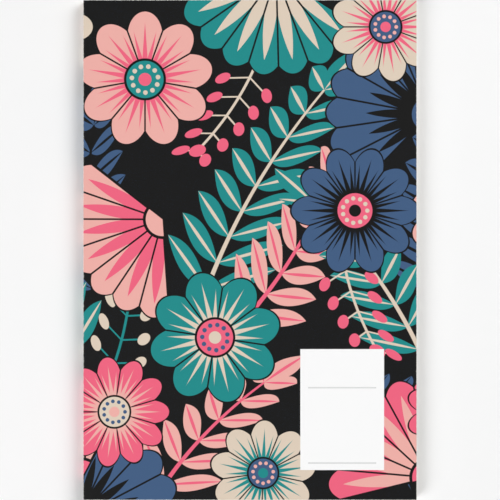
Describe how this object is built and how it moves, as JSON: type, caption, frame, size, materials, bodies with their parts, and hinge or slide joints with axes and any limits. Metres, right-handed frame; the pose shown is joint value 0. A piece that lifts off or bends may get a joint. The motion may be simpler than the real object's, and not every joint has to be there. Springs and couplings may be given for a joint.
{
  "type": "address book",
  "caption": "Portrait paperback address book: card cover folded round a glued block of single ruled leaves; covers and leaves turn at the spine.",
  "frame": {"origin": "middle of the back cover's outer face, on the surface that the closed book lies on", "axes": "+X from the spine to the fore-edge, +Y from tail to head, +Z from the back cover to the front cover"},
  "size_m": [0.1524, 0.2286, 0.0068],
  "materials": {
    "cover_card": "printed card with a matte laminate",
    "leaf_paper": "uncoated white writing paper",
    "glue": "set hot-melt glue"
  },
  "bodies": {
    "binding": {"cover_spine": "cover_card", "spine_glue": "glue"},
    "front_cover": {"cover_front": "cover_card"},
    "back_cover": {"cover_back": "cover_card"},
    "leaf_01": {"leaf_01": "leaf_paper"},
    "leaf_02": {"leaf_02": "leaf_paper"},
    "leaf_03": {"leaf_03": "leaf_paper"},
    "leaf_04": {"leaf_04": "leaf_paper"},
    "leaf_05": {"leaf_05": "leaf_paper"},
    "leaf_06": {"leaf_06": "leaf_paper"},
    "leaf_07": {"leaf_07": "leaf_paper"},
    "leaf_08": {"leaf_08": "leaf_paper"},
    "leaf_09": {"leaf_09": "leaf_paper"},
    "leaf_10": {"leaf_10": "leaf_paper"},
    "leaf_11": {"leaf_11": "leaf_paper"},
    "leaf_12": {"leaf_12": "leaf_paper"},
    "leaf_13": {"leaf_13": "leaf_paper"},
    "leaf_14": {"leaf_14": "leaf_paper"},
    "leaf_15": {"leaf_15": "leaf_paper"},
    "leaf_16": {"leaf_16": "leaf_paper"},
    "leaf_17": {"leaf_17": "leaf_paper"},
    "leaf_18": {"leaf_18": "leaf_paper"},
    "leaf_19": {"leaf_19": "leaf_paper"},
    "leaf_20": {"leaf_20": "leaf_paper"},
    "leaf_21": {"leaf_21": "leaf_paper"},
    "leaf_22": {"leaf_22": "leaf_paper"},
    "leaf_23": {"leaf_23": "leaf_paper"},
    "leaf_24": {"leaf_24": "leaf_paper"},
    "leaf_25": {"leaf_25": "leaf_paper"},
    "leaf_26": {"leaf_26": "leaf_paper"},
    "leaf_27": {"leaf_27": "leaf_paper"},
    "leaf_28": {"leaf_28": "leaf_paper"},
    "leaf_29": {"leaf_29": "leaf_paper"},
    "leaf_30": {"leaf_30": "leaf_paper"},
    "leaf_31": {"leaf_31": "leaf_paper"},
    "leaf_32": {"leaf_32": "leaf_paper"},
    "leaf_33": {"leaf_33": "leaf_paper"},
    "leaf_34": {"leaf_34": "leaf_paper"},
    "leaf_35": {"leaf_35": "leaf_paper"},
    "leaf_36": {"leaf_36": "leaf_paper"},
    "leaf_37": {"leaf_37": "leaf_paper"},
    "leaf_38": {"leaf_38": "leaf_paper"},
    "leaf_39": {"leaf_39": "leaf_paper"},
    "leaf_40": {"leaf_40": "leaf_paper"},
    "leaf_41": {"leaf_41": "leaf_paper"},
    "leaf_42": {"leaf_42": "leaf_paper"},
    "leaf_43": {"leaf_43": "leaf_paper"},
    "leaf_44": {"leaf_44": "leaf_paper"},
    "leaf_45": {"leaf_45": "leaf_paper"},
    "leaf_46": {"leaf_46": "leaf_paper"},
    "leaf_47": {"leaf_47": "leaf_paper"},
    "leaf_48": {"leaf_48": "leaf_paper"},
    "leaf_49": {"leaf_49": "leaf_paper"},
    "leaf_50": {"leaf_50": "leaf_paper"},
    "leaf_51": {"leaf_51": "leaf_paper"},
    "leaf_52": {"leaf_52": "leaf_paper"},
    "leaf_53": {"leaf_53": "leaf_paper"},
    "leaf_54": {"leaf_54": "leaf_paper"}
  },
  "joints": [
    {"name": "front_cover_hinge", "type": "hinge", "parent": "leaf_01", "child": "front_cover", "pos_m": [-0.07606, 0, 0.00663], "axis": [0, -1, 0], "range_deg": [0, 180]},
    {"name": "back_cover_hinge", "type": "hinge", "parent": "binding", "child": "back_cover", "pos_m": [-0.07606, 0, 0.00014], "axis": [0, 1, 0], "range_deg": [0, 180]},
    {"name": "leaf_01_turn", "type": "hinge", "parent": "leaf_02", "child": "leaf_01", "pos_m": [-0.07606, 0, 0.00663], "axis": [0, -1, 0], "range_deg": [0, 180]},
    {"name": "leaf_02_turn", "type": "hinge", "parent": "leaf_03", "child": "leaf_02", "pos_m": [-0.07606, 0, 0.00663], "axis": [0, -1, 0], "range_deg": [0, 180]},
    {"name": "leaf_03_turn", "type": "hinge", "parent": "leaf_04", "child": "leaf_03", "pos_m": [-0.07606, 0, 0.00663], "axis": [0, -1, 0], "range_deg": [0, 180]},
    {"name": "leaf_04_turn", "type": "hinge", "parent": "leaf_05", "child": "leaf_04", "pos_m": [-0.07606, 0, 0.00663], "axis": [0, -1, 0], "range_deg": [0, 180]},
    {"name": "leaf_05_turn", "type": "hinge", "parent": "leaf_06", "child": "leaf_05", "pos_m": [-0.07606, 0, 0.00663], "axis": [0, -1, 0], "range_deg": [0, 180]},
    {"name": "leaf_06_turn", "type": "hinge", "parent": "leaf_07", "child": "leaf_06", "pos_m": [-0.07606, 0, 0.00663], "axis": [0, -1, 0], "range_deg": [0, 180]},
    {"name": "leaf_07_turn", "type": "hinge", "parent": "leaf_08", "child": "leaf_07", "pos_m": [-0.07606, 0, 0.00663], "axis": [0, -1, 0], "range_deg": [0, 180]},
    {"name": "leaf_08_turn", "type": "hinge", "parent": "leaf_09", "child": "leaf_08", "pos_m": [-0.07606, 0, 0.00663], "axis": [0, -1, 0], "range_deg": [0, 180]},
    {"name": "leaf_09_turn", "type": "hinge", "parent": "leaf_10", "child": "leaf_09", "pos_m": [-0.07606, 0, 0.00663], "axis": [0, -1, 0], "range_deg": [0, 180]},
    {"name": "leaf_10_turn", "type": "hinge", "parent": "leaf_11", "child": "leaf_10", "pos_m": [-0.07606, 0, 0.00663], "axis": [0, -1, 0], "range_deg": [0, 180]},
    {"name": "leaf_11_turn", "type": "hinge", "parent": "leaf_12", "child": "leaf_11", "pos_m": [-0.07606, 0, 0.00663], "axis": [0, -1, 0], "range_deg": [0, 180]},
    {"name": "leaf_12_turn", "type": "hinge", "parent": "leaf_13", "child": "leaf_12", "pos_m": [-0.07606, 0, 0.00663], "axis": [0, -1, 0], "range_deg": [0, 180]},
    {"name": "leaf_13_turn", "type": "hinge", "parent": "leaf_14", "child": "leaf_13", "pos_m": [-0.07606, 0, 0.00663], "axis": [0, -1, 0], "range_deg": [0, 180]},
    {"name": "leaf_14_turn", "type": "hinge", "parent": "leaf_15", "child": "leaf_14", "pos_m": [-0.07606, 0, 0.00663], "axis": [0, -1, 0], "range_deg": [0, 180]},
    {"name": "leaf_15_turn", "type": "hinge", "parent": "leaf_16", "child": "leaf_15", "pos_m": [-0.07606, 0, 0.00663], "axis": [0, -1, 0], "range_deg": [0, 180]},
    {"name": "leaf_16_turn", "type": "hinge", "parent": "leaf_17", "child": "leaf_16", "pos_m": [-0.07606, 0, 0.00663], "axis": [0, -1, 0], "range_deg": [0, 180]},
    {"name": "leaf_17_turn", "type": "hinge", "parent": "leaf_18", "child": "leaf_17", "pos_m": [-0.07606, 0, 0.00663], "axis": [0, -1, 0], "range_deg": [0, 180]},
    {"name": "leaf_18_turn", "type": "hinge", "parent": "leaf_19", "child": "leaf_18", "pos_m": [-0.07606, 0, 0.00663], "axis": [0, -1, 0], "range_deg": [0, 180]},
    {"name": "leaf_19_turn", "type": "hinge", "parent": "leaf_20", "child": "leaf_19", "pos_m": [-0.07606, 0, 0.00663], "axis": [0, -1, 0], "range_deg": [0, 180]},
    {"name": "leaf_20_turn", "type": "hinge", "parent": "leaf_21", "child": "leaf_20", "pos_m": [-0.07606, 0, 0.00663], "axis": [0, -1, 0], "range_deg": [0, 180]},
    {"name": "leaf_21_turn", "type": "hinge", "parent": "leaf_22", "child": "leaf_21", "pos_m": [-0.07606, 0, 0.00663], "axis": [0, -1, 0], "range_deg": [0, 180]},
    {"name": "leaf_22_turn", "type": "hinge", "parent": "leaf_23", "child": "leaf_22", "pos_m": [-0.07606, 0, 0.00663], "axis": [0, -1, 0], "range_deg": [0, 180]},
    {"name": "leaf_23_turn", "type": "hinge", "parent": "leaf_24", "child": "leaf_23", "pos_m": [-0.07606, 0, 0.00663], "axis": [0, -1, 0], "range_deg": [0, 180]},
    {"name": "leaf_24_turn", "type": "hinge", "parent": "leaf_25", "child": "leaf_24", "pos_m": [-0.07606, 0, 0.00663], "axis": [0, -1, 0], "range_deg": [0, 180]},
    {"name": "leaf_25_turn", "type": "hinge", "parent": "leaf_26", "child": "leaf_25", "pos_m": [-0.07606, 0, 0.00663], "axis": [0, -1, 0], "range_deg": [0, 180]},
    {"name": "leaf_26_turn", "type": "hinge", "parent": "leaf_27", "child": "leaf_26", "pos_m": [-0.07606, 0, 0.00663], "axis": [0, -1, 0], "range_deg": [0, 180]},
    {"name": "leaf_27_turn", "type": "hinge", "parent": "leaf_28", "child": "leaf_27", "pos_m": [-0.07606, 0, 0.00663], "axis": [0, -1, 0], "range_deg": [0, 180]},
    {"name": "leaf_28_turn", "type": "hinge", "parent": "leaf_29", "child": "leaf_28", "pos_m": [-0.07606, 0, 0.00663], "axis": [0, -1, 0], "range_deg": [0, 180]},
    {"name": "leaf_29_turn", "type": "hinge", "parent": "leaf_30", "child": "leaf_29", "pos_m": [-0.07606, 0, 0.00663], "axis": [0, -1, 0], "range_deg": [0, 180]},
    {"name": "leaf_30_turn", "type": "hinge", "parent": "leaf_31", "child": "leaf_30", "pos_m": [-0.07606, 0, 0.00663], "axis": [0, -1, 0], "range_deg": [0, 180]},
    {"name": "leaf_31_turn", "type": "hinge", "parent": "leaf_32", "child": "leaf_31", "pos_m": [-0.07606, 0, 0.00663], "axis": [0, -1, 0], "range_deg": [0, 180]},
    {"name": "leaf_32_turn", "type": "hinge", "parent": "leaf_33", "child": "leaf_32", "pos_m": [-0.07606, 0, 0.00663], "axis": [0, -1, 0], "range_deg": [0, 180]},
    {"name": "leaf_33_turn", "type": "hinge", "parent": "leaf_34", "child": "leaf_33", "pos_m": [-0.07606, 0, 0.00663], "axis": [0, -1, 0], "range_deg": [0, 180]},
    {"name": "leaf_34_turn", "type": "hinge", "parent": "leaf_35", "child": "leaf_34", "pos_m": [-0.07606, 0, 0.00663], "axis": [0, -1, 0], "range_deg": [0, 180]},
    {"name": "leaf_35_turn", "type": "hinge", "parent": "leaf_36", "child": "leaf_35", "pos_m": [-0.07606, 0, 0.00663], "axis": [0, -1, 0], "range_deg": [0, 180]},
    {"name": "leaf_36_turn", "type": "hinge", "parent": "leaf_37", "child": "leaf_36", "pos_m": [-0.07606, 0, 0.00663], "axis": [0, -1, 0], "range_deg": [0, 180]},
    {"name": "leaf_37_turn", "type": "hinge", "parent": "leaf_38", "child": "leaf_37", "pos_m": [-0.07606, 0, 0.00663], "axis": [0, -1, 0], "range_deg": [0, 180]},
    {"name": "leaf_38_turn", "type": "hinge", "parent": "leaf_39", "child": "leaf_38", "pos_m": [-0.07606, 0, 0.00663], "axis": [0, -1, 0], "range_deg": [0, 180]},
    {"name": "leaf_39_turn", "type": "hinge", "parent": "leaf_40", "child": "leaf_39", "pos_m": [-0.07606, 0, 0.00663], "axis": [0, -1, 0], "range_deg": [0, 180]},
    {"name": "leaf_40_turn", "type": "hinge", "parent": "leaf_41", "child": "leaf_40", "pos_m": [-0.07606, 0, 0.00663], "axis": [0, -1, 0], "range_deg": [0, 180]},
    {"name": "leaf_41_turn", "type": "hinge", "parent": "leaf_42", "child": "leaf_41", "pos_m": [-0.07606, 0, 0.00663], "axis": [0, -1, 0], "range_deg": [0, 180]},
    {"name": "leaf_42_turn", "type": "hinge", "parent": "leaf_43", "child": "leaf_42", "pos_m": [-0.07606, 0, 0.00663], "axis": [0, -1, 0], "range_deg": [0, 180]},
    {"name": "leaf_43_turn", "type": "hinge", "parent": "leaf_44", "child": "leaf_43", "pos_m": [-0.07606, 0, 0.00663], "axis": [0, -1, 0], "range_deg": [0, 180]},
    {"name": "leaf_44_turn", "type": "hinge", "parent": "leaf_45", "child": "leaf_44", "pos_m": [-0.07606, 0, 0.00663], "axis": [0, -1, 0], "range_deg": [0, 180]},
    {"name": "leaf_45_turn", "type": "hinge", "parent": "leaf_46", "child": "leaf_45", "pos_m": [-0.07606, 0, 0.00663], "axis": [0, -1, 0], "range_deg": [0, 180]},
    {"name": "leaf_46_turn", "type": "hinge", "parent": "leaf_47", "child": "leaf_46", "pos_m": [-0.07606, 0, 0.00663], "axis": [0, -1, 0], "range_deg": [0, 180]},
    {"name": "leaf_47_turn", "type": "hinge", "parent": "leaf_48", "child": "leaf_47", "pos_m": [-0.07606, 0, 0.00663], "axis": [0, -1, 0], "range_deg": [0, 180]},
    {"name": "leaf_48_turn", "type": "hinge", "parent": "leaf_49", "child": "leaf_48", "pos_m": [-0.07606, 0, 0.00663], "axis": [0, -1, 0], "range_deg": [0, 180]},
    {"name": "leaf_49_turn", "type": "hinge", "parent": "leaf_50", "child": "leaf_49", "pos_m": [-0.07606, 0, 0.00663], "axis": [0, -1, 0], "range_deg": [0, 180]},
    {"name": "leaf_50_turn", "type": "hinge", "parent": "leaf_51", "child": "leaf_50", "pos_m": [-0.07606, 0, 0.00663], "axis": [0, -1, 0], "range_deg": [0, 180]},
    {"name": "leaf_51_turn", "type": "hinge", "parent": "leaf_52", "child": "leaf_51", "pos_m": [-0.07606, 0, 0.00663], "axis": [0, -1, 0], "range_deg": [0, 180]},
    {"name": "leaf_52_turn", "type": "hinge", "parent": "leaf_53", "child": "leaf_52", "pos_m": [-0.07606, 0, 0.00663], "axis": [0, -1, 0], "range_deg": [0, 180]},
    {"name": "leaf_53_turn", "type": "hinge", "parent": "leaf_54", "child": "leaf_53", "pos_m": [-0.07606, 0, 0.00663], "axis": [0, -1, 0], "range_deg": [0, 180]},
    {"name": "leaf_54_turn", "type": "hinge", "parent": "binding", "child": "leaf_54", "pos_m": [-0.07606, 0, 0.00663], "axis": [0, -1, 0], "range_deg": [0, 180]}
  ]
}
